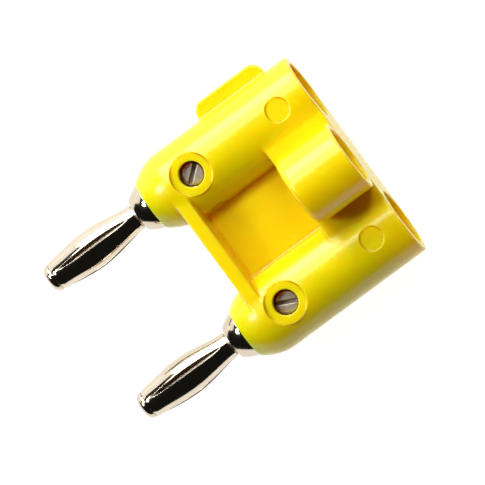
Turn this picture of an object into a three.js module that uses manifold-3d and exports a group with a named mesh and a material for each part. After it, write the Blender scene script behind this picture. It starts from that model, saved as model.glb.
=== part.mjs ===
// Stackable double banana plug: one moulded yellow housing on two sprung 4 mm pins, 19.05 mm apart.
// Millimetres, +Z up. The plug lies on its flat back: the pins point along -X, and the cable collar
// and the two clamp screws face +Z. The origin is on the back, midway between the pins and straight
// under the clamp screws. The barrel with the polarity tab is on the +Y side.
import * as THREE from "three";
import { mergeVertices } from "three/addons/utils/BufferGeometryUtils.js";
import Module from "manifold-3d";

const wasm = await Module();
wasm.setup();

// Driving dimensions. The back is flat, a little inside the barrels' round. "Station" is the distance
// along X behind the front edge of the plastic noses.
const PIN_SPACING = 19.05;
const PIN_REACH = 15.5;
const SCREW_STATION = 6.65;
const HOUSING_LENGTH = 23.7;
const BARREL_R = 4.8;
const AXIS_HEIGHT = 4.7;
const NOSE_R = 3.3;
const NOSE_LENGTH = 4.0;
const NOSE_STEPS = 8;

// Web, rail and rear block that join the two barrels. Heights are above the barrels' axes.
const WALL_FRONT = 2.8;
const WALL_BACK = 4.5;
const WALL_TOP = 4.45;
const FLOOR_HEIGHT = -0.65;
const BLOCK_FRONT = 15.3;
const BLOCK_TOP = 3.99;

// Cable collar on the rear block.
const COLLAR_FRONT = 15.75;
const COLLAR_AXIS = 7.0;
const COLLAR_R = 4.65;
const COLLAR_BORE_R = 3.8;

// Polarity tab on the side of one barrel.
const TAB_START = 10.9;
const TAB_END = 20.6;
const TAB_REACH = 1.86;
const TAB_THICKNESS = 1.8;
const TAB_CORNER_R = 1.5;
const TAB_CORNER_STEPS = 8;

// Flat round seats around the screw holes, and the ejector marks behind them.
const SEAT_R = 2.6;
const SEAT_TOP = 4.25;
const SEAT_PAD = 0.1;
const SCREW_HOLE_R = 1.58;
const MARK_STATION = 19.6;
const MARK_R = 1.5;
const MARK_DEPTH = 0.3;

// Contact body: turned brass, moulded into the barrel. It holds the stem at its front end, has the
// wire chamber under the clamp screw, and is a 4 mm socket at its rear end.
const CONTACT_R = 3.2;
const CONTACT_FRONT = -1.9;
const CONTACT_FRONT_R = 2.0;
const CONE_EDGE = 0.2;
const CONTACT_REAR = 20.7;
const RECESS_R = 3.8;
const SOCKET_R = 2.05;
const SOCKET_BOTTOM = 8.3;
const SOCKET_CHAMFER = 0.35;
const STEM_HOLE_BOTTOM = 3.2;
const FLANGE_R = 3.7;
const FLANGE_START = 11;
const FLANGE_END = 12.5;
const CHAMBER_FLOOR = -0.75;
const WIRE_HOLE_R = 0.85;
const WIRE_HOLE_HEIGHT = 0.35;

// Pin core and the bowed spring cage that turns on it. "Reach" is the distance behind the pin's tip.
const STEM_R = 1.45;
const HEAD_R = 1.8;
const HEAD_LENGTH = 1.0;
const HEAD_ROUND = 0.85;
const HEAD_STEPS = 5;
const PIN_SIDES = 24;
const TIP_FLAT_R = 1.0;
const CAGE_START = 1.05;
const CAGE_END = 13.3;
const CAGE_RING = 0.55;
const CAGE_RING_R = 1.72;
const CAGE_FRONT_R = 1.83;
const CAGE_SHOULDER_R = 1.97;
const CAGE_RISE_AT = 4.2;
const CAGE_RISE_R = 2.31;
const CAGE_BOW_AT = 6.9;
const CAGE_BOW_R = 2.48;
const CAGE_FALL_AT = 9.6;
const CAGE_FALL_R = 2.22;
const CAGE_WALL = 0.2;
const CAGE_STEPS = 9;
const LEAVES = 4;
const CAGE_SIDES = 24;
const SLIT_WIDTH = 0.66;
const SLIT_END_GAP = 0.5;
const SLIT_STEPS = 5;
const SLIT_TURN = THREE.MathUtils.degToRad(11);

// Clamp screw: slotted, headless, seen down the screw hole.
const SCREW_R = 1.45;
const SCREW_TOP = 3.1;
const SCREW_LENGTH = 3.0;
const SCREW_CHAMFER = 0.3;
const SLOT_WIDTH = 0.5;
const SLOT_DEPTH = 0.7;

// Gap between pieces that touch or run on one another, the overshoot of a cutting tool, the distance
// within which corners are one, and the sides of a round.
const CLEARANCE = 0.05;
const PAST = 1;
const MERGE_WITHIN = 1e-4;
const ROUND = 40;
const SMALL_ROUND = 24;

const yellow = { color: 0xefd600, roughness: 0.35, metalness: 0 };
const nickel = { color: 0xd9d5cc, roughness: 0.15, metalness: 1 };
const screwMetal = { color: 0xa9a395, roughness: 0.35, metalness: 1 };

const atStation = (station) => station - SCREW_STATION;
const atReach = (reach) => -PIN_REACH - SCREW_STATION + reach;

// A closed three.js geometry as a solid for cutting and joining.
function solid(geometry) {
  const bare = geometry.clone();
  bare.deleteAttribute("normal");
  bare.deleteAttribute("uv");
  const merged = mergeVertices(bare, MERGE_WITHIN);
  const mesh = new wasm.Mesh({
    numProp: 3,
    vertProperties: new Float32Array(merged.attributes.position.array),
    triVerts: new Uint32Array(merged.index.array),
  });
  return new wasm.Manifold(mesh);
}

// A finished solid as a geometry.
function geometryOf(manifold) {
  const { vertProperties, triVerts } = manifold.getMesh();
  const geometry = new THREE.BufferGeometry();
  geometry.setAttribute("position", new THREE.BufferAttribute(vertProperties, 3));
  geometry.setIndex(new THREE.BufferAttribute(triVerts, 1));
  geometry.computeVertexNormals();
  return geometry;
}

function box(x0, x1, y0, y1, z0, z1) {
  const geometry = new THREE.BoxGeometry(x1 - x0, y1 - y0, z1 - z0);
  return solid(geometry.translate((x0 + x1) / 2, (y0 + y1) / 2, (z0 + z1) / 2));
}

// Cylinders from one end to the other, along X, Y or Z.
function rodX(x0, x1, radius, y, z, sides = ROUND) {
  const geometry = new THREE.CylinderGeometry(radius, radius, x1 - x0, sides);
  return solid(geometry.rotateZ(-Math.PI / 2).translate((x0 + x1) / 2, y, z));
}

function rodY(y0, y1, radius, x, z, sides = SMALL_ROUND) {
  const geometry = new THREE.CylinderGeometry(radius, radius, y1 - y0, sides);
  return solid(geometry.translate(x, (y0 + y1) / 2, z));
}

function rodZ(z0, z1, radius, x, y, sides = SMALL_ROUND) {
  const geometry = new THREE.CylinderGeometry(radius, radius, z1 - z0, sides);
  return solid(geometry.rotateX(Math.PI / 2).translate(x, y, (z0 + z1) / 2));
}

// A profile of [x, radius] points turned round the X axis.
function turned(profile, sides = ROUND) {
  const points = profile.map(([x, radius]) => new THREE.Vector2(radius, x));
  return solid(new THREE.LatheGeometry(points, sides).rotateZ(-Math.PI / 2));
}

// The nose swells from its front edge to the full barrel along a parabola.
function barrelProfile() {
  const profile = [[atStation(0), 0]];
  for (let i = 0; i <= NOSE_STEPS; i++) {
    const part = i / NOSE_STEPS;
    const swell = 1 - (1 - part) ** 2;
    profile.push([atStation(part * NOSE_LENGTH), NOSE_R + (BARREL_R - NOSE_R) * swell]);
  }
  profile.push([atStation(HOUSING_LENGTH), BARREL_R]);
  profile.push([atStation(HOUSING_LENGTH), 0]);
  return profile;
}

// Flat tab with rounded outer corners, standing out sideways from the barrel.
function polarityTab() {
  const start = atStation(TAB_START);
  const end = atStation(TAB_END);
  const root = PIN_SPACING / 2 + BARREL_R / 2;
  const edge = PIN_SPACING / 2 + BARREL_R + TAB_REACH;
  const outline = new THREE.Shape();
  outline.moveTo(start, root);
  outline.lineTo(end, root);
  outline.lineTo(end, edge - TAB_CORNER_R);
  outline.absarc(end - TAB_CORNER_R, edge - TAB_CORNER_R, TAB_CORNER_R, 0, Math.PI / 2);
  outline.lineTo(start + TAB_CORNER_R, edge);
  outline.absarc(start + TAB_CORNER_R, edge - TAB_CORNER_R, TAB_CORNER_R, Math.PI / 2, Math.PI);
  outline.closePath();
  const plate = new THREE.ExtrudeGeometry(outline, {
    depth: TAB_THICKNESS,
    bevelEnabled: false,
    curveSegments: TAB_CORNER_STEPS,
  });
  return solid(plate.translate(0, 0, AXIS_HEIGHT - TAB_THICKNESS / 2));
}

// The moulded housing: two barrels, the web and its front wall, the rear block, the collar and the
// tab, less the holes for the contacts, screws, wires and cable.
function housing() {
  const rear = atStation(HOUSING_LENGTH);
  const half = PIN_SPACING / 2;
  const wallFront = atStation(WALL_FRONT);
  const wallBack = atStation(WALL_BACK);
  const collarZ = AXIS_HEIGHT + COLLAR_AXIS;
  const seatZ = AXIS_HEIGHT + SEAT_TOP;
  let body = box(wallFront, rear, -half, half, -PAST, AXIS_HEIGHT + FLOOR_HEIGHT);
  body = body.add(box(wallFront, wallBack, -half, half, -PAST, AXIS_HEIGHT + WALL_TOP));
  body = body.add(box(atStation(BLOCK_FRONT), rear, -half, half, -PAST, AXIS_HEIGHT + BLOCK_TOP));
  body = body.add(rodX(atStation(COLLAR_FRONT), rear, COLLAR_R, 0, collarZ));
  for (const side of [1, -1]) {
    const y = side * half;
    body = body.add(turned(barrelProfile()).translate(0, y, AXIS_HEIGHT));
    body = body.add(rodZ(AXIS_HEIGHT, seatZ, SEAT_R + SEAT_PAD, 0, y));
  }
  body = body.add(polarityTab());
  body = body.subtract(box(atStation(0) - PAST, rear + PAST, -PIN_SPACING, PIN_SPACING, -2 * PAST, 0));
  const boreFront = atStation(BLOCK_FRONT) - PAST;
  body = body.subtract(rodX(boreFront, rear + PAST, COLLAR_BORE_R, 0, collarZ));
  for (const side of [1, -1]) {
    const y = side * half;
    const recessBottom = atStation(CONTACT_REAR) + CLEARANCE;
    const flangeFront = atStation(FLANGE_START) - CLEARANCE;
    const flangeBack = atStation(FLANGE_END) + CLEARANCE;
    const nose = atStation(0) - PAST;
    body = body.subtract(rodZ(seatZ, seatZ + BARREL_R, SEAT_R, 0, y));
    body = body.subtract(rodZ(AXIS_HEIGHT, seatZ + PAST, SCREW_HOLE_R, 0, y));
    body = body.subtract(rodX(nose, rear, CONTACT_R + CLEARANCE, y, AXIS_HEIGHT));
    body = body.subtract(rodX(flangeFront, flangeBack, FLANGE_R + CLEARANCE, y, AXIS_HEIGHT));
    body = body.subtract(rodX(recessBottom, rear + PAST, RECESS_R, y, AXIS_HEIGHT));
    const markFloor = AXIS_HEIGHT + BARREL_R - MARK_DEPTH;
    body = body.subtract(rodZ(markFloor, markFloor + PAST, MARK_R, atStation(MARK_STATION), y));
    const pocketEdge = side * (half - BARREL_R - PAST);
    const wireY = [pocketEdge, y].sort((a, b) => a - b);
    const wireZ = AXIS_HEIGHT + WIRE_HOLE_HEIGHT;
    body = body.subtract(rodY(wireY[0], wireY[1], WIRE_HOLE_R + CLEARANCE, 0, wireZ));
  }
  return body;
}

// Turned contact, centred on the X axis: cone, moulded-in flange, stem hole and rear socket.
function contact(side) {
  const stemHole = STEM_R + CLEARANCE;
  const rear = atStation(CONTACT_REAR);
  const profile = [
    [atStation(STEM_HOLE_BOTTOM), 0],
    [atStation(STEM_HOLE_BOTTOM), stemHole],
    [atStation(CONTACT_FRONT), stemHole],
    [atStation(CONTACT_FRONT), CONTACT_FRONT_R],
    [atStation(CONTACT_FRONT) + CONE_EDGE, CONTACT_FRONT_R + CONE_EDGE],
    [atStation(-CONE_EDGE), CONTACT_R - CONE_EDGE],
    [atStation(0), CONTACT_R],
    [atStation(FLANGE_START), CONTACT_R],
    [atStation(FLANGE_START), FLANGE_R],
    [atStation(FLANGE_END), FLANGE_R],
    [atStation(FLANGE_END), CONTACT_R],
    [rear, CONTACT_R],
    [rear, SOCKET_R + SOCKET_CHAMFER],
    [rear - SOCKET_CHAMFER, SOCKET_R],
    [atStation(SOCKET_BOTTOM), SOCKET_R],
    [atStation(SOCKET_BOTTOM), 0],
  ];
  let body = turned(profile);
  body = body.subtract(rodZ(CHAMBER_FLOOR, CONTACT_R + PAST, SCREW_R + CLEARANCE, 0, 0));
  const inward = [-side * (CONTACT_R + PAST), side * (SCREW_R / 2)].sort((a, b) => a - b);
  return body.subtract(rodY(inward[0], inward[1], WIRE_HOLE_R, 0, WIRE_HOLE_HEIGHT));
}

// Stem with a blunt rounded head, centred on the X axis.
function pinCore() {
  const profile = [[atReach(0), 0]];
  for (let i = 0; i <= HEAD_STEPS; i++) {
    const turn = ((i / HEAD_STEPS) * Math.PI) / 2;
    const reach = HEAD_ROUND * (1 - Math.cos(turn));
    profile.push([atReach(reach), TIP_FLAT_R + (HEAD_R - TIP_FLAT_R) * Math.sin(turn)]);
  }
  profile.push([atReach(HEAD_LENGTH), HEAD_R]);
  profile.push([atReach(HEAD_LENGTH), STEM_R]);
  profile.push([atStation(STEM_HOLE_BOTTOM) - CLEARANCE, STEM_R]);
  profile.push([atStation(STEM_HOLE_BOTTOM) - CLEARANCE, 0]);
  return turned(profile, PIN_SIDES);
}

// Long edge of the cage: a ring drawn in behind the pin's head, bowed leaves, a straight rear ring.
function cageEdge() {
  const bow = new THREE.SplineCurve([
    new THREE.Vector2(CAGE_START + CAGE_RING, CAGE_SHOULDER_R),
    new THREE.Vector2(CAGE_RISE_AT, CAGE_RISE_R),
    new THREE.Vector2(CAGE_BOW_AT, CAGE_BOW_R),
    new THREE.Vector2(CAGE_FALL_AT, CAGE_FALL_R),
    new THREE.Vector2(CAGE_END - CAGE_RING, CAGE_RING_R),
  ]);
  const front = new THREE.Vector2(CAGE_START, CAGE_FRONT_R);
  const rear = new THREE.Vector2(CAGE_END, CAGE_RING_R);
  return [front, ...bow.getPoints(CAGE_STEPS), rear];
}

// One-piece spring cage, centred on the X axis, with lens-shaped slits between its leaves.
function springCage() {
  const outer = cageEdge().map((p) => [atReach(p.x), p.y]);
  const inner = outer.map(([x, r]) => [x, Math.max(r - CAGE_WALL, STEM_R + CLEARANCE)]);
  const outline = [...outer, ...inner.reverse(), outer[0]];
  let cage = turned(outline, CAGE_SIDES);
  const start = atReach(CAGE_START + CAGE_RING + SLIT_END_GAP);
  const end = atReach(CAGE_END - CAGE_RING - SLIT_END_GAP);
  const middle = atReach(CAGE_BOW_AT);
  const slit = new THREE.Shape();
  slit.moveTo(start, 0);
  slit.quadraticCurveTo(middle, SLIT_WIDTH, end, 0);
  slit.quadraticCurveTo(middle, -SLIT_WIDTH, start, 0);
  const cutter = new THREE.ExtrudeGeometry(slit, {
    depth: CAGE_BOW_R + PAST,
    bevelEnabled: false,
    curveSegments: SLIT_STEPS,
  });
  for (let leaf = 0; leaf < LEAVES; leaf++) {
    const turn = SLIT_TURN + (leaf * 2 * Math.PI) / LEAVES;
    cage = cage.subtract(solid(cutter.clone().rotateX(-turn)));
  }
  return cage;
}

// Slotted headless screw standing on the Z axis, its height counted from the contact's axis.
function clampScrew(slotTurn) {
  const foot = SCREW_TOP - SCREW_LENGTH;
  const points = [
    new THREE.Vector2(0, foot),
    new THREE.Vector2(SCREW_R - SCREW_CHAMFER, foot),
    new THREE.Vector2(SCREW_R, foot + SCREW_CHAMFER),
    new THREE.Vector2(SCREW_R, SCREW_TOP - SCREW_CHAMFER / 2),
    new THREE.Vector2(SCREW_R - SCREW_CHAMFER / 2, SCREW_TOP),
    new THREE.Vector2(0, SCREW_TOP),
  ];
  const shank = solid(new THREE.LatheGeometry(points, SMALL_ROUND).rotateX(Math.PI / 2));
  const slot = new THREE.BoxGeometry(4 * SCREW_R, SLOT_WIDTH, 2 * SLOT_DEPTH);
  return shank.subtract(solid(slot.rotateZ(slotTurn).translate(0, 0, SCREW_TOP)));
}

const group = new THREE.Group();

function addPiece(name, manifold, finish, y = 0, z = 0) {
  const mesh = new THREE.Mesh(geometryOf(manifold), new THREE.MeshStandardMaterial(finish));
  mesh.name = name;
  mesh.position.set(0, y, z);
  group.add(mesh);
}

const sides = [
  { name: "tab_side", side: 1, slotTurn: THREE.MathUtils.degToRad(40) },
  { name: "plain_side", side: -1, slotTurn: THREE.MathUtils.degToRad(-25) },
];

addPiece("housing", housing(), yellow);
for (const { name, side, slotTurn } of sides) {
  const y = (side * PIN_SPACING) / 2;
  addPiece(`${name}_contact_body`, contact(side), nickel, y, AXIS_HEIGHT);
  addPiece(`${name}_pin_core`, pinCore(), nickel, y, AXIS_HEIGHT);
  addPiece(`${name}_spring_cage`, springCage(), nickel, y, AXIS_HEIGHT);
  addPiece(`${name}_clamp_screw`, clampScrew(slotTurn), screwMetal, y, AXIS_HEIGHT);
}

export default group;
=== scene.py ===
import math

import bpy
import numpy as np
from mathutils import Matrix, Vector


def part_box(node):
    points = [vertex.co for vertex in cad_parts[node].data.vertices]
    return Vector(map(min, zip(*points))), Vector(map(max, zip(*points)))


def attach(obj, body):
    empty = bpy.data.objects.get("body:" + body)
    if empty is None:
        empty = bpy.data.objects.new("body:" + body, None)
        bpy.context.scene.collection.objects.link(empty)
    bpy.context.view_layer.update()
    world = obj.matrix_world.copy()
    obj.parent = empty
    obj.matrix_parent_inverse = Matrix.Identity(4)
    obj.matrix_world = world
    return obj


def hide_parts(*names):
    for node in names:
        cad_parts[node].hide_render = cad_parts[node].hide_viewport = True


# Stackable double banana plug, lying on its flat back: the pins point along -X, the cable collar and
# the clamp screws face +Z, and the barrel with the polarity tab is on the +Y side. Sizes are in
# millimetres, and lengths along a part are counted from its front end.
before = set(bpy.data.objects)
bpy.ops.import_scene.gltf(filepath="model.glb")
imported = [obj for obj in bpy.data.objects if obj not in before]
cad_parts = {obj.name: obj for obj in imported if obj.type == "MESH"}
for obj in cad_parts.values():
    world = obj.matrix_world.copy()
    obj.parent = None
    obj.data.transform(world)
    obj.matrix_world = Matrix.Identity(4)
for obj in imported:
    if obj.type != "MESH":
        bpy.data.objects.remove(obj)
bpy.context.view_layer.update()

# ---------------------------------------------------------------------------------------------------
# Moulded housing. One injection moulding in yellow polypropylene, moulded round the two contact
# bodies: two barrels, the web and wall between them, the rear block with the cable collar, and the
# polarity tab. Every inner corner is filleted and every edge is eased by the mould.
# ---------------------------------------------------------------------------------------------------
MM = 0.001


def box_mm(node):
    low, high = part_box(node)
    return np.array(low) / MM, np.array(high) / MM


shell_low, shell_high = box_mm("housing")
contact_low, contact_high = box_mm("tab_side_contact_body")
front, rear = shell_low[0], shell_high[0]
axis_y, axis_z = (contact_low[1:] + contact_high[1:]) / 2
barrel_r = -shell_low[1] - axis_y
nose_r = 3.3
nose_length = 4.0
collar_r = 4.65
collar_z = shell_high[2] - collar_r
collar_bore_r = 3.8
wall_front, wall_back = front + 2.8, front + 4.5
block_front = front + 15.3
collar_front = front + 15.75
collar_edge_r = 0.9
wall_top, floor_top, block_top = axis_z + 4.45, axis_z - 0.65, axis_z + 3.99
tab_front, tab_back = front + 10.9, front + 20.6
tab_edge = shell_high[1]
tab_thickness = 1.8
tab_corner = 1.5
seat_r, seat_top = 2.6, axis_z + 4.25
screw_hole_r = 1.58
mark_at, mark_r, mark_depth = front + 19.6, 1.5, 0.3
recess_r, recess_bottom = 3.8, front + 20.75
contact_hole_r = 3.25
# The plastic grips the contact's front end by this much, which keeps the thin wall of the nose whole.
grip, grip_length = 0.2, 0.8
groove_r, groove_front, groove_back = 3.75, front + 10.95, front + 12.55
wire_hole_r, wire_hole_z = 0.9, axis_z + 0.35
eased, filleted, crisp = 0.3, 0.35, 0.1


def meet(a, b, rounding):
    """The solid inside both fields, with its new edge rounded."""
    near = np.maximum(rounding - np.abs(a - b), 0)
    return np.maximum(a, b) + near * near / (4 * rounding)


def join(a, b, rounding):
    """The solid inside either field, with a fillet where they meet."""
    return -meet(-a, -b, rounding)


def cut(a, tool, rounding):
    """The first solid less the second."""
    return meet(a, -tool, rounding)


def span(value, low, high):
    return np.abs(value - (low + high) / 2) - (high - low) / 2


def rod(across, other, along, radius, low, high, rounding=crisp):
    return meet(np.hypot(across, other) - radius, span(along, low, high), rounding)


def slab(x, y, z, low, high, rounding):
    """A box with rounded edges, from its low corner to its high corner."""
    gaps = [span(v, a + rounding, b - rounding) for v, a, b in zip((x, y, z), low, high)]
    outside = np.sqrt(sum(np.maximum(g, 0) ** 2 for g in gaps))
    inside = np.minimum(np.maximum(np.maximum(gaps[0], gaps[1]), gaps[2]), 0)
    return outside + inside - rounding


def housing_field(x, y, z):
    """Signed distance to the moulding's surface, less than zero inside the plastic."""
    out, up = np.abs(y) - axis_y, z - axis_z
    past, sunk = 5.0, 1.0
    swell = 1 - np.clip(1 - (x - front) / nose_length, 0, 1) ** 2
    from_axis = np.hypot(out, up)
    body = meet(from_axis - nose_r - (barrel_r - nose_r) * swell, front - x, eased / 2)
    wall = slab(x, y, z, (wall_front, -axis_y, -past), (wall_back, axis_y, wall_top), eased)
    web = slab(x, y, z, (wall_back - sunk, -axis_y, -past), (rear + past, axis_y, floor_top), eased)
    block = slab(x, y, z, (block_front, -axis_y, -past), (rear + past, axis_y, block_top), eased)
    body = join(join(join(body, wall, filleted), web, filleted), block, filleted)
    collar = rod(y, z - collar_z, x, collar_r, collar_front, rear + past, collar_edge_r)
    body = join(body, collar, filleted)
    corner_x = span(x, tab_front + tab_corner, tab_back - tab_corner)
    corner_y = y - tab_edge + tab_corner
    outline = np.hypot(np.maximum(corner_x, 0), np.maximum(corner_y, 0))
    outline = outline + np.minimum(np.maximum(corner_x, corner_y), 0) - tab_corner
    tab = meet(outline, span(z, axis_z - tab_thickness / 2, axis_z + tab_thickness / 2), eased)
    body = join(body, meet(tab, axis_y - y, eased), eased)
    body = join(body, rod(x, out, z, seat_r + crisp, axis_z, seat_top), crisp)
    body = meet(body, x - rear, eased)
    body = meet(body, -z, eased)
    body = cut(body, rod(x, out, z, seat_r, seat_top, seat_top + past), crisp)
    body = cut(body, rod(x, out, z, screw_hole_r, axis_z, seat_top + past), crisp)
    gripping = contact_hole_r - grip * np.clip((front + grip_length - x) / grip, 0, 1)
    body = cut(body, rod(out, up, x, gripping, front - past, recess_bottom + crisp), crisp)
    body = cut(body, rod(out, up, x, groove_r, groove_front, groove_back), crisp)
    body = cut(body, rod(out, up, x, recess_r, recess_bottom, rear + past), eased / 2)
    mark_floor = axis_z + barrel_r - mark_depth
    body = cut(body, rod(x - mark_at, out, z, mark_r, mark_floor, mark_floor + past), crisp)
    body = cut(body, rod(y, z - collar_z, x, collar_bore_r, block_front - sunk, rear + past), eased)
    wire_hole = rod(x, z - wire_hole_z, out, wire_hole_r, -barrel_r - sunk, 0)
    return cut(body, wire_hole, crisp)


def slope_and_bend(field, points, step):
    """The field's value, gradient and curvature at each point, by small steps each way."""
    here = field(*points.T)
    slope = np.empty_like(points)
    bend = np.zeros(len(points))
    for axis in range(3):
        move = np.zeros(3)
        move[axis] = step
        ahead, behind = field(*(points + move).T), field(*(points - move).T)
        slope[:, axis] = (ahead - behind) / (2 * step)
        bend += (ahead + behind - 2 * here) / step**2
    return here, slope, bend


def settled(field, points, step):
    """Points moved onto the surface, with the outward normal and the curvature there."""
    rounds, least_slope, longest_move = 4, 0.05, 3 * step
    for _ in range(rounds):
        here, slope, bend = slope_and_bend(field, points, step)
        steep = np.maximum((slope**2).sum(1), least_slope)
        move = slope * (here / steep)[:, None]
        points = points - np.clip(move, -longest_move, longest_move)
    here, slope, bend = slope_and_bend(field, points, step)
    return points, slope / np.linalg.norm(slope, axis=1)[:, None], bend


def skin(field, low, high, cell):
    """Corner points and four-sided faces of a closed skin over the solid, on a grid of cells."""
    before, after = 2.5 * cell, 3 * cell
    lines = [np.arange(a - before, b + after, cell) for a, b in zip(low, high)]
    inside = field(*np.meshgrid(*lines, indexing="ij", sparse=True)) < 0
    corners = [
        inside[i : len(lines[0]) - 1 + i, j : len(lines[1]) - 1 + j, k : len(lines[2]) - 1 + k]
        for i in (0, 1) for j in (0, 1) for k in (0, 1)
    ]
    count = sum(c.astype(np.int8) for c in corners)
    at = np.nonzero((count > 0) & (count < 8))
    number = np.full(count.shape, -1)
    number[at] = np.arange(len(at[0]))
    points = np.stack([line[i] + cell / 2 for line, i in zip(lines, at)], 1)
    faces = []
    for axis in range(3):
        solid, cells = np.moveaxis(inside, axis, 0), np.moveaxis(number, axis, 0)
        i, j, k = np.nonzero((solid[:-1] != solid[1:])[:, 1:-1, 1:-1])
        j, k = j + 1, k + 1
        ring = [cells[i, j - 1, k - 1], cells[i, j, k - 1], cells[i, j, k], cells[i, j - 1, k]]
        quad = np.stack(ring, 1)
        turned = solid[i, j, k] == (axis == 1)
        quad[turned] = quad[turned][:, ::-1]
        faces.append(quad)
    return points, np.concatenate(faces)


def solid_mesh(name, field, low, high, cell, most=None):
    """A mesh over a field, thinned to at most so many triangles, with true normals and an "edge"
    attribute that is 1 on its sharpest edges, 0 on its flats and -1 in its tightest corners."""
    step, sharpest_bend = cell / 4, 4
    points, faces = skin(field, low, high, cell)
    points = settled(field, points, step)[0]
    mesh = bpy.data.meshes.new(name)
    mesh.from_pydata(points * MM, [], faces)
    if most and 2 * len(faces) > most:
        thick = bpy.data.objects.new(name, mesh)
        bpy.context.scene.collection.objects.link(thick)
        thin = thick.modifiers.new("Thin", "DECIMATE")
        thin.ratio = most / (2 * len(faces))
        seen = thick.evaluated_get(bpy.context.evaluated_depsgraph_get())
        mesh = bpy.data.meshes.new_from_object(seen)
        bpy.data.objects.remove(thick)
    flat = np.empty(3 * len(mesh.vertices))
    mesh.vertices.foreach_get("co", flat)
    points, normals, bend = settled(field, flat.reshape(-1, 3) / MM, step)
    mesh.vertices.foreach_set("co", (points * MM).ravel())
    mesh.shade_smooth()
    mesh.normals_split_custom_set_from_vertices(normals)
    edge = mesh.attributes.new("edge", "FLOAT", "POINT")
    edge.data.foreach_set("value", np.clip(bend / sharpest_bend, -1, 1))
    mesh.update()
    mesh.name = name
    return mesh


def finished_piece(name, mesh, material, body, slot, *nodes):
    """Puts a finished mesh in the scene in its material, on its body, in place of its CAD nodes."""
    piece = bpy.data.objects.new(name, mesh)
    bpy.context.scene.collection.objects.link(piece)
    mesh.materials.clear()
    mesh.materials.append(material)
    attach(piece, body)
    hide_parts(*nodes)
    return piece


def linear(hex_colour):
    """An sRGB hex value as the linear colour that a socket takes."""
    parts = [int(hex_colour[i : i + 2], 16) / 255 for i in (1, 3, 5)]
    return tuple(c / 12.92 if c <= 0.04045 else ((c + 0.055) / 1.055) ** 2.4 for c in parts) + (1.0,)


def add_node(tree, kind, inputs=None, **settings):
    """Adds a node with its settings; each input is a plain value or another node's output."""
    node = tree.nodes.new(kind)
    for name, value in settings.items():
        setattr(node, name, value)
    for key, value in (inputs or {}).items():
        if isinstance(value, bpy.types.NodeSocket):
            tree.links.new(value, node.inputs[key])
        else:
            node.inputs[key].default_value = value
    return node


def new_material(name):
    """An empty material: its node tree and its shader, already joined to the output."""
    material = bpy.data.materials.new(name)
    material.use_nodes = True
    tree = material.node_tree
    return material, tree, tree.nodes["Principled BSDF"]


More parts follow.
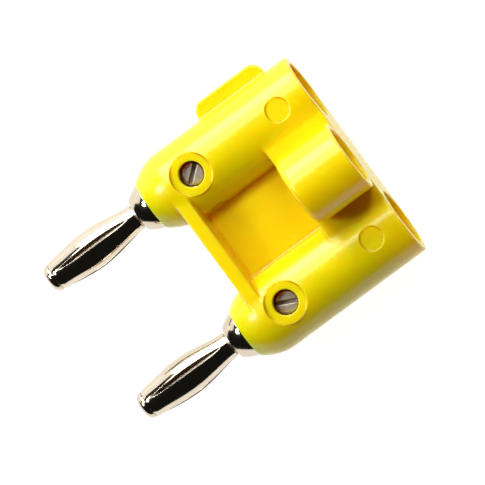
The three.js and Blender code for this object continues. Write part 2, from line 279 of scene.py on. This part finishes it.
def moulded_polypropylene():
    """Semi-gloss moulded polypropylene. The eye gets a full yellow with a soft, pale sheen, a painted
    highlight on convex edges and painted warm shade in inner corners, light that sinks in a little, a
    trace of flow in the colour, a very fine mould grain, and a faint parting line at the height of the
    pins."""
    material, tree, shader = new_material("moulded_polypropylene")
    place = add_node(tree, "ShaderNodeTexCoord").outputs["Object"]
    edge = add_node(tree, "ShaderNodeAttribute", attribute_name="edge").outputs["Fac"]
    flow_size, blotch_size, grain_size = 5.0, 1.4, 0.3
    flow = add_node(tree, "ShaderNodeTexNoise",
                    {"Vector": place, "Scale": 1 / (flow_size * MM), "Detail": 3.0, "Distortion": 0.6})
    # deep and full are the plastic's own tones; pale is the colour of the painted edge highlight below.
    deep, full, pale = linear("#EDCC00"), linear("#F3DB00"), linear("#FAE95A")
    tone = add_node(tree, "ShaderNodeMix", {"Factor": flow.outputs["Fac"], "A": deep, "B": full},
                    data_type="RGBA")
    # Painted highlight: convex edges are mixed towards the pale yellow, as if they caught the light.
    painted_edge_highlight = add_node(tree, "ShaderNodeMapRange", {"Value": edge, "From Min": 0.25, "From Max": 1.0,
                                                 "To Min": 0.0, "To Max": 0.12})
    with_edge_highlight = add_node(tree, "ShaderNodeMix", {"Factor": painted_edge_highlight.outputs["Result"], "A": tone.outputs["Result"],
                                            "B": pale}, data_type="RGBA")
    # Painted shade: tight inner corners are mixed towards a deep orange, standing in for the shade and
    # warm bounced light that gather there.
    painted_corner_shade = add_node(tree, "ShaderNodeMapRange", {"Value": edge, "From Min": 0.0, "From Max": -0.7,
                                                  "To Min": 0.0, "To Max": 0.3})
    with_corner_shade = add_node(tree, "ShaderNodeMix", {"Factor": painted_corner_shade.outputs["Result"],
                                              "A": with_edge_highlight.outputs["Result"], "B": linear("#D98A00")},
                      data_type="RGBA")
    tree.links.new(with_corner_shade.outputs["Result"], shader.inputs["Base Color"])
    blotch = add_node(tree, "ShaderNodeTexNoise",
                      {"Vector": place, "Scale": 1 / (blotch_size * MM), "Detail": 2.0})
    gloss = add_node(tree, "ShaderNodeMapRange", {"Value": blotch.outputs["Fac"], "To Min": 0.2,
                                                   "To Max": 0.3})
    tree.links.new(gloss.outputs["Result"], shader.inputs["Roughness"])
    grain = add_node(tree, "ShaderNodeTexNoise",
                     {"Vector": place, "Scale": 1 / (grain_size * MM), "Detail": 2.0})
    bump = add_node(tree, "ShaderNodeBump", {"Height": grain.outputs["Fac"], "Strength": 0.35,
                                              "Distance": 0.012 * MM})
    parting_half_width = 0.07 * MM
    height = add_node(tree, "ShaderNodeSeparateXYZ", {"Vector": place}).outputs["Z"]
    from_parting = add_node(tree, "ShaderNodeMath", {0: height, 1: axis_z * MM}, operation="SUBTRACT")
    distance = add_node(tree, "ShaderNodeMath", {0: from_parting.outputs[0]}, operation="ABSOLUTE")
    line = add_node(tree, "ShaderNodeMapRange", {"Value": distance.outputs[0],
                                                  "From Max": parting_half_width,
                                                  "To Min": 1.0, "To Max": 0.0},
                    interpolation_type="SMOOTHSTEP")
    seam = add_node(tree, "ShaderNodeBump", {"Height": line.outputs["Result"], "Strength": 0.6,
                                              "Distance": 0.03 * MM, "Normal": bump.outputs["Normal"]})
    tree.links.new(seam.outputs["Normal"], shader.inputs["Normal"])
    shader.inputs["IOR"].default_value = 1.49
    shader.inputs["Subsurface Weight"].default_value = 0.5
    shader.inputs["Subsurface Radius"].default_value = (4.0, 0.4, 0.1)
    shader.inputs["Subsurface Scale"].default_value = MM
    return material


housing_cell = 0.15
most_triangles = 190000
housing_mesh = solid_mesh("moulded_housing", housing_field, shell_low, shell_high, housing_cell,
                          most_triangles)
finished_piece("moulded_housing", housing_mesh, moulded_polypropylene(), "plug_body", "yellow_plastic",
               "housing")

# ---------------------------------------------------------------------------------------------------
# Contact bodies. Turned brass with bright nickel plating, moulded into the barrels by a flange. Only
# the flared front end and the rear 4 mm socket show; the clamp screw and the wire meet in the middle.
# ---------------------------------------------------------------------------------------------------
contact_r = 3.2
flare_length, flare_rise, flare_r, flare_power = 1.9, 0.95, 3.15, 1.5
flange_front, flange_back = groove_front + 0.05, groove_back - 0.05
flange_r = (contact_high[1] - contact_low[1]) / 2
contact_rear = contact_high[0]
socket_r, socket_bottom, socket_chamfer = 2.05, front + 8.3, 0.35
stem_hole_r, stem_hole_bottom = 1.5, front + 3.2
chamber_floor = -0.75
screw_thread_hole_r = 1.5
contact_wire_hole_r = 0.85


def contact_field(x, y, z):
    """Signed distance to a contact body centred on the X axis, its wire hole facing -Y."""
    past, farthest = 1.0, 1.5
    from_axis = np.hypot(y, z)
    before_nose = np.clip((front - x) / flare_length, 0, farthest)
    flare = from_axis - flare_r + flare_rise * before_nose**flare_power
    body = meet(flare, from_axis - contact_r, crisp)
    body = meet(body, span(x, contact_low[0], contact_rear), crisp)
    body = join(body, rod(y, z, x, flange_r, flange_front, flange_back), crisp)
    body = cut(body, rod(y, z, x, stem_hole_r, contact_low[0] - past, stem_hole_bottom), crisp / 2)
    body = cut(body, rod(y, z, x, socket_r, socket_bottom, contact_rear + past), crisp)
    slope = from_axis - socket_r - socket_chamfer + (contact_rear - x)
    body = cut(body, meet(slope, contact_rear - past - x, crisp), crisp / 2)
    body = cut(body, rod(x, y, z, screw_thread_hole_r, chamber_floor, contact_r + past), crisp)
    wire_hole = rod(x, z - wire_hole_z + axis_z, y, contact_wire_hole_r, -contact_r - past, 0)
    return cut(body, wire_hole, crisp)


def turned_nickel(dull_from=None, dullness=0.3):
    """Bright nickel plate over turned brass. The eye gets a clear mirror with a faint warm cast, broken
    by the lathe's fine rings and by a light, cloudy handling film. Past dull_from, where nothing rubs
    it, it keeps a satin sheen."""
    material, tree, shader = new_material("turned_nickel")
    place = add_node(tree, "ShaderNodeTexCoord").outputs["Object"]
    along = add_node(tree, "ShaderNodeSeparateXYZ", {"Vector": place}).outputs["X"]
    feed, cloud = 0.12, 1.5
    rings = add_node(tree, "ShaderNodeTexNoise", {"W": along, "Scale": 1 / (feed * MM), "Detail": 2.0},
                     noise_dimensions="1D")
    film = add_node(tree, "ShaderNodeTexNoise",
                    {"Vector": place, "Scale": 1 / (cloud * MM), "Detail": 4.0})
    tone = add_node(tree, "ShaderNodeMix", {"Factor": film.outputs["Fac"], "A": linear("#C3B49C"),
                                            "B": linear("#D6CBB8")}, data_type="RGBA")
    tree.links.new(tone.outputs["Result"], shader.inputs["Base Color"])
    gloss = add_node(tree, "ShaderNodeMapRange", {"Value": film.outputs["Fac"], "To Min": 0.07,
                                                   "To Max": 0.16}).outputs["Result"]
    if dull_from is not None:
        unburnished = add_node(tree, "ShaderNodeMath", {0: along, 1: dull_from * MM},
                               operation="GREATER_THAN").outputs[0]
        gloss = add_node(tree, "ShaderNodeMath", {0: unburnished, 1: dullness, 2: gloss},
                         operation="MULTIPLY_ADD").outputs[0]
    tree.links.new(gloss, shader.inputs["Roughness"])
    bump = add_node(tree, "ShaderNodeBump", {"Height": rings.outputs["Fac"], "Strength": 0.25,
                                              "Distance": 0.01 * MM})
    tree.links.new(bump.outputs["Normal"], shader.inputs["Normal"])
    shader.inputs["Metallic"].default_value = 1.0
    return material


def placed(field, side):
    """A field made on the X axis, moved to one barrel; its -Y side faces the middle of the plug."""
    return lambda x, y, z: field(x, side * y - axis_y, z - axis_z)


sides = {"tab_side": 1, "plain_side": -1}
fine_cell = 0.11
contact_nickel = turned_nickel()
for name, side in sides.items():
    node = f"{name}_contact_body"
    mesh = solid_mesh(f"{name}_turned_contact", placed(contact_field, side), *box_mm(node), fine_cell)
    finished_piece(mesh.name, mesh, contact_nickel, "plug_body", "nickel_plate", node)

# ---------------------------------------------------------------------------------------------------
# Pin cores. Turned brass stems, nickel plated, pressed into the contact bodies. The blunt head keeps
# the spring on, and the stem shows as a pale strip through the spring's slits.
# ---------------------------------------------------------------------------------------------------
core_low, core_high = box_mm("tab_side_pin_core")
stem_r = 1.45
head_r, head_length, head_flat = 1.8, 1.0, 1.0
head_round = head_r - head_flat
pin_tip = core_low[0]
core_cell = fine_cell * 0.8


def core_field(x, y, z):
    """Signed distance to a pin core centred on the X axis."""
    from_axis, reach = np.hypot(y, z), x - pin_tip
    dome = np.hypot(np.maximum(from_axis - head_flat, 0), np.maximum(head_round - reach, 0)) - head_round
    head = meet(dome, reach - head_length, crisp / 3)
    stem = rod(y, z, x, stem_r, pin_tip + head_length / 2, core_high[0])
    return join(head, stem, crisp)


core_nickel = turned_nickel(dull_from=pin_tip + head_length)
for name, side in sides.items():
    node = f"{name}_pin_core"
    mesh = solid_mesh(f"{name}_turned_core", placed(core_field, side), *box_mm(node), core_cell)
    finished_piece(mesh.name, mesh, core_nickel, "plug_body", "nickel_plate", node)

# ---------------------------------------------------------------------------------------------------
# Spring cages. Each is one piece of beryllium copper strip, slit into four leaves, rolled into a
# sleeve, bowed and nickel plated. It turns freely on its stem behind the head.
# ---------------------------------------------------------------------------------------------------
cage_low, cage_high = box_mm("tab_side_spring_cage")
cage_start, cage_end = cage_low[0] - pin_tip, cage_high[0] - pin_tip
ring_length, front_r, shoulder_r, draw_power = 0.55, 1.83, 1.97, 1.5
cage_wall, cage_clearance = 0.2, 0.05
leaves = 4
slit_half_width = 0.36
slit_turn = math.radians(11)
weld, sharpest_smooth = 0.002 * MM, math.radians(40)
bow = np.polynomial.Polynomial.fit([1.6, 4.2, 6.9, 9.6, 12.75], [1.97, 2.31, 2.48, 2.22, 1.72], 4)


def leaf_mesh(rows=110, columns=18, lip=0.07):
    """One leaf with its quarter of both end rings, facing +Z, as a thin solid strip that is open only
    where the next leaf's rings join it."""
    reach = cage_start + (cage_end - cage_start) * np.linspace(0, 1, rows)
    outer = bow(np.clip(reach, cage_start + ring_length, cage_end - ring_length))
    drawn_in = np.clip((cage_start + ring_length - reach) / ring_length, 0, 1)
    outer = outer - (shoulder_r - front_r) * drawn_in**draw_power
    slit_start, slit_end = cage_start + 2 * ring_length, cage_end - 2 * ring_length
    along = (2 * reach - slit_start - slit_end) / (slit_end - slit_start)
    slit = slit_half_width * np.clip(1 - along**2, 0, 1)
    half_turn = math.pi / leaves - slit / outer
    points, faces = [], []
    across = np.sin(np.linspace(-math.pi / 2, math.pi / 2, columns))
    for layer in range(2):
        for x, r, half, open_slit in zip(reach, outer, half_turn, slit):
            inset = np.maximum(lip - (1 - np.abs(across)) * half * r, 0)
            rounding = (lip - np.sqrt(np.maximum(lip**2 - inset**2, 0))) * min(1, open_slit / lip)
            inner = np.maximum(r - cage_wall, stem_r + cage_clearance) + rounding
            radius = r - rounding if layer == 0 else inner
            turn = across * half
            points += zip([x + pin_tip] * columns, radius * np.sin(turn), radius * np.cos(turn))
    layer_size = rows * columns
    for i in range(rows - 1):
        for j in range(columns - 1):
            a = i * columns + j
            outer_face = (a, a + columns, a + columns + 1, a + 1)
            faces.append(outer_face)
            faces.append(tuple(layer_size + v for v in reversed(outer_face)))
        if slit[i] > 0 or slit[i + 1] > 0:
            a, b = i * columns, (i + 1) * columns
            faces.append((a, a + layer_size, b + layer_size, b))
            a, b = a + columns - 1, b + columns - 1
            faces.append((a, b, b + layer_size, a + layer_size))
    for i, order in ((0, 1), (rows - 1, -1)):
        for j in range(columns - 1):
            a = i * columns + j
            faces.append((a, a + 1, a + 1 + layer_size, a + layer_size)[::order])
    mesh = bpy.data.meshes.new("leaf")
    mesh.from_pydata(np.array(points) * MM, [], faces)
    return mesh


def repeat_round_axis():
    """Geometry nodes that repeat a piece round the X axis, weld the copies and set their material."""
    tree = bpy.data.node_groups.new("repeat_round_axis", "GeometryNodeTree")
    for label, kind in (("Leaf", "Geometry"), ("Leaves", "Int"), ("First turn", "Float"),
                        ("Weld", "Float"), ("Centre", "Vector"), ("Material", "Material")):
        tree.interface.new_socket(label, in_out="INPUT", socket_type=f"NodeSocket{kind}")
    tree.interface.new_socket("Cage", in_out="OUTPUT", socket_type="NodeSocketGeometry")
    given = add_node(tree, "NodeGroupInput").outputs
    line = add_node(tree, "GeometryNodeMeshLine", {"Count": given["Leaves"], "Offset": (0, 0, 0)})
    index = add_node(tree, "GeometryNodeInputIndex").outputs["Index"]
    step = add_node(tree, "ShaderNodeMath", {0: 2 * math.pi, 1: given["Leaves"]}, operation="DIVIDE")
    turn = add_node(tree, "ShaderNodeMath", {0: index, 1: step.outputs[0], 2: given["First turn"]},
                    operation="MULTIPLY_ADD")
    rotation = add_node(tree, "ShaderNodeCombineXYZ", {"X": turn.outputs[0]})
    copies = add_node(tree, "GeometryNodeInstanceOnPoints",
                      {"Points": line.outputs["Mesh"], "Instance": given["Leaf"],
                       "Rotation": rotation.outputs["Vector"]})
    real = add_node(tree, "GeometryNodeRealizeInstances", {"Geometry": copies.outputs["Instances"]})
    welded = add_node(tree, "GeometryNodeMergeByDistance",
                      {"Geometry": real.outputs["Geometry"], "Distance": given["Weld"]})
    moved = add_node(tree, "GeometryNodeTransform",
                     {"Geometry": welded.outputs["Geometry"], "Translation": given["Centre"]})
    painted = add_node(tree, "GeometryNodeSetMaterial",
                       {"Geometry": moved.outputs["Geometry"], "Material": given["Material"]})
    add_node(tree, "NodeGroupOutput", {"Cage": painted.outputs["Geometry"]})
    return tree


def drawn_nickel():
    """Bright nickel on drawn spring strip. The eye gets the sharpest reflections on the plug, with very
    fine straight lines that run the length of each leaf and soften them sideways."""
    material, tree, shader = new_material("drawn_nickel")
    place = add_node(tree, "ShaderNodeTexCoord").outputs["Object"]
    line_spacing, line_length, cloud = 0.09, 9.0, 2.0
    stretched = add_node(tree, "ShaderNodeMapping",
                         {"Vector": place, "Scale": (1 / (line_length * MM), 1 / (line_spacing * MM),
                                                     1 / (line_spacing * MM))})
    lines = add_node(tree, "ShaderNodeTexNoise", {"Vector": stretched.outputs["Vector"], "Scale": 1.0,
                                                   "Detail": 3.0})
    film = add_node(tree, "ShaderNodeTexNoise",
                    {"Vector": place, "Scale": 1 / (cloud * MM), "Detail": 3.0})
    tone = add_node(tree, "ShaderNodeMix", {"Factor": film.outputs["Fac"], "A": linear("#CBBCA4"),
                                            "B": linear("#DCD2C0")}, data_type="RGBA")
    tree.links.new(tone.outputs["Result"], shader.inputs["Base Color"])
    gloss = add_node(tree, "ShaderNodeMapRange", {"Value": lines.outputs["Fac"], "To Min": 0.05,
                                                   "To Max": 0.14})
    tree.links.new(gloss.outputs["Result"], shader.inputs["Roughness"])
    bump = add_node(tree, "ShaderNodeBump", {"Height": lines.outputs["Fac"], "Strength": 0.2,
                                              "Distance": 0.01 * MM})
    tree.links.new(bump.outputs["Normal"], shader.inputs["Normal"])
    shader.inputs["Metallic"].default_value = 1.0
    return material


cage_nickel = drawn_nickel()
cage_tree = repeat_round_axis()
leaf = leaf_mesh()
for name, side in sides.items():
    holder = bpy.data.objects.new("cage", leaf)
    bpy.context.scene.collection.objects.link(holder)
    nodes = holder.modifiers.new("Leaves", "NODES")
    nodes.node_group = cage_tree
    first_turn = -slit_turn - math.pi / leaves
    settings = {"Leaves": leaves, "First turn": first_turn, "Weld": weld, "Material": cage_nickel,
                "Centre": (0, side * axis_y * MM, axis_z * MM)}
    for socket in cage_tree.interface.items_tree:
        if socket.in_out == "INPUT" and socket.name in settings:
            nodes[socket.identifier] = settings[socket.name]
    seen = holder.evaluated_get(bpy.context.evaluated_depsgraph_get())
    cage = bpy.data.meshes.new_from_object(seen)
    bpy.data.objects.remove(holder)
    cage.name = f"{name}_bowed_spring"
    cage.shade_smooth()
    cage.set_sharp_from_angle(angle=sharpest_smooth)
    finished_piece(cage.name, cage, cage_nickel, f"{name}_spring", "spring_nickel", f"{name}_spring_cage")

# ---------------------------------------------------------------------------------------------------
# Clamp screws. Headless slotted set screws of plated steel, cut with a fine thread. Each stands in the
# threaded hole of its contact body and shows at the bottom of the screw hole.
# ---------------------------------------------------------------------------------------------------
screw_low, screw_high = box_mm("tab_side_clamp_screw")
screw_r = (screw_high[0] - screw_low[0]) / 2
thread_pitch, thread_depth, thread_steepness = 0.5, 0.2, 0.8
slot_width, slot_depth = 0.5, 0.7
screw_ease = 0.25
screw_cell = 0.06
slot_turns = {"tab_side": math.radians(40), "plain_side": math.radians(-25)}


def screw_field(turn):
    """Signed distance to a screw that stands on the Z axis with its slot turned from +X."""

    def field(x, y, z):
        from_axis = np.hypot(x, y)
        lead = z / thread_pitch - np.arctan2(y, x) / (2 * math.pi)
        groove = thread_depth * np.abs(2 * (lead - np.floor(lead)) - 1)
        shank = (from_axis - screw_r + groove) * thread_steepness
        body = meet(shank, span(z, screw_low[2], screw_high[2]), screw_ease)
        across = y * math.cos(turn) - x * math.sin(turn)
        slot = meet(np.abs(across) - slot_width / 2, screw_high[2] - slot_depth - z, crisp / 2)
        return cut(body, slot, crisp)

    return field


def plated_steel():
    """Zinc-plated steel, tumbled in a barrel. The eye gets a dull grey-beige metal with small scuffs,
    edges rubbed lighter, and a darker colour towards the slot and the thread grooves."""
    material, tree, shader = new_material("plated_steel")
    place = add_node(tree, "ShaderNodeTexCoord").outputs["Object"]
    edge = add_node(tree, "ShaderNodeAttribute", attribute_name="edge").outputs["Fac"]
    scuff_size, dirt_size = 0.18, 0.6
    scuffs = add_node(tree, "ShaderNodeTexNoise", {"Vector": place, "Scale": 1 / (scuff_size * MM),
                                                    "Detail": 4.0, "Distortion": 1.5})
    dirt = add_node(tree, "ShaderNodeTexNoise", {"Vector": place, "Scale": 1 / (dirt_size * MM)})
    tone = add_node(tree, "ShaderNodeMix", {"Factor": dirt.outputs["Fac"], "A": linear("#B3AA97"),
                                            "B": linear("#DFD9CA")}, data_type="RGBA")
    # Lighter on convex edges, where tumbling rubs the plating; darker towards the slot and the thread
    # grooves.
    edge_and_groove_tone = add_node(tree, "ShaderNodeMapRange", {"Value": edge, "From Min": -0.6, "From Max": 0.8})
    metal = add_node(tree, "ShaderNodeMix", {"Factor": edge_and_groove_tone.outputs["Result"], "A": linear("#7A6F62"),
                                             "B": tone.outputs["Result"]}, data_type="RGBA")
    tree.links.new(metal.outputs["Result"], shader.inputs["Base Color"])
    gloss = add_node(tree, "ShaderNodeMapRange", {"Value": scuffs.outputs["Fac"], "To Min": 0.3,
                                                   "To Max": 0.55})
    tree.links.new(gloss.outputs["Result"], shader.inputs["Roughness"])
    bump = add_node(tree, "ShaderNodeBump", {"Height": scuffs.outputs["Fac"], "Strength": 0.8,
                                              "Distance": 0.05 * MM})
    tree.links.new(bump.outputs["Normal"], shader.inputs["Normal"])
    shader.inputs["Metallic"].default_value = 1.0
    return material


screw_steel = plated_steel()
for name, side in sides.items():
    node = f"{name}_clamp_screw"
    upright = screw_field(slot_turns[name])
    there = lambda x, y, z, upright=upright, side=side: upright(x, y - side * axis_y, z)
    mesh = solid_mesh(f"{name}_slotted_screw", there, *box_mm(node), screw_cell)
    finished_piece(mesh.name, mesh, screw_steel, f"{name}_screw", "screw_steel", node)

# ---------------------------------------------------------------------------------------------------
# Studio. A plain white table that glows, as a lit sheet of opal does, in a dark room, which gives the
# pins their black band. Five softboxes stand on the tab side: two low ones, a high one, and one
# towards each end, whose two shadows of the collar meet in a half-moon.
# ---------------------------------------------------------------------------------------------------
table_half = 3.0
table_drop = 0.05 * MM
table_mesh = bpy.data.meshes.new("table")
table_mesh.from_pydata([(x * table_half, y * table_half, -table_drop) for x, y in
                        ((-1, -1), (1, -1), (1, 1), (-1, 1))], [], [(0, 1, 2, 3)])
table = bpy.data.objects.new("table", table_mesh)
bpy.context.scene.collection.objects.link(table)
opal, _, opal_shader = new_material("opal_table")
opal_shader.inputs["Base Color"].default_value = linear("#8C8C8C")
opal_shader.inputs["Roughness"].default_value = 0.8
opal_shader.inputs["Emission Color"].default_value = linear("#FFFFFF")
opal_shader.inputs["Emission Strength"].default_value = 0.97
table_mesh.materials.append(opal)


def softbox(name, azimuth, elevation, distance, width, height, watts):
    """A rectangular light aimed at the plug; azimuth is counted from +X towards +Y, in degrees."""
    light = bpy.data.lights.new(name, "AREA")
    light.shape, light.size, light.size_y, light.energy = "RECTANGLE", width, height, watts
    lamp = bpy.data.objects.new(name, light)
    a, e = math.radians(azimuth), math.radians(elevation)
    towards = Vector((math.cos(a) * math.cos(e), math.sin(a) * math.cos(e), math.sin(e)))
    lamp.location = towards * distance
    lamp.rotation_euler = towards.to_track_quat("Z", "Y").to_euler()
    bpy.context.scene.collection.objects.link(lamp)


softbox("side", azimuth=92, elevation=30, distance=0.5, width=0.22, height=0.27, watts=1.65)
softbox("side_wall", azimuth=104, elevation=13, distance=0.6, width=1.0, height=0.3, watts=1.25)
softbox("pin_end", azimuth=148, elevation=46, distance=0.5, width=0.14, height=0.14, watts=1.1)
softbox("cable_end", azimuth=42, elevation=50, distance=0.5, width=0.12, height=0.12, watts=0.7)
softbox("high_side", azimuth=90, elevation=57, distance=0.5, width=0.4, height=0.1, watts=0.85)

world = bpy.data.worlds.new("room")
bpy.context.scene.world = world
world.use_nodes = True
room = world.node_tree
backdrop = add_node(room, "ShaderNodeBackground", {"Color": linear("#F4F4F4"), "Strength": 0.95})
dim = add_node(room, "ShaderNodeBackground", {"Color": linear("#FFFFFF"), "Strength": 0.01})
path = add_node(room, "ShaderNodeLightPath")
mix = add_node(room, "ShaderNodeMixShader", {0: path.outputs["Is Camera Ray"], 1: dim.outputs[0],
                                             2: backdrop.outputs[0]})
room.links.new(mix.outputs[0], room.nodes["World Output"].inputs["Surface"])

# The camera looks down on the plug, a little from its -Y side and its cable end, and rolled.
tilt_x, tilt_y, roll = (math.radians(a) for a in (2.53, -6.66, 36.53))
look = (Matrix.Rotation(tilt_x, 3, "X") @ Matrix.Rotation(tilt_y, 3, "Y")
        @ Matrix.Rotation(roll, 3, "Z")).transposed()
aim_x, aim_y, camera_distance = -0.53, -0.90, 700
camera = bpy.data.objects.new("camera", bpy.data.cameras.new("camera"))
camera.data.lens = 428.8
camera.data.sensor_width = 36.0
camera.data.clip_start, camera.data.clip_end = 0.05, 10.0
place = look @ Vector((aim_x, aim_y, camera_distance)) * MM
camera.matrix_world = Matrix.Translation(place) @ look.to_4x4()
bpy.context.scene.collection.objects.link(camera)
bpy.context.scene.camera = camera
bpy.context.scene.view_settings.view_transform = "Standard"
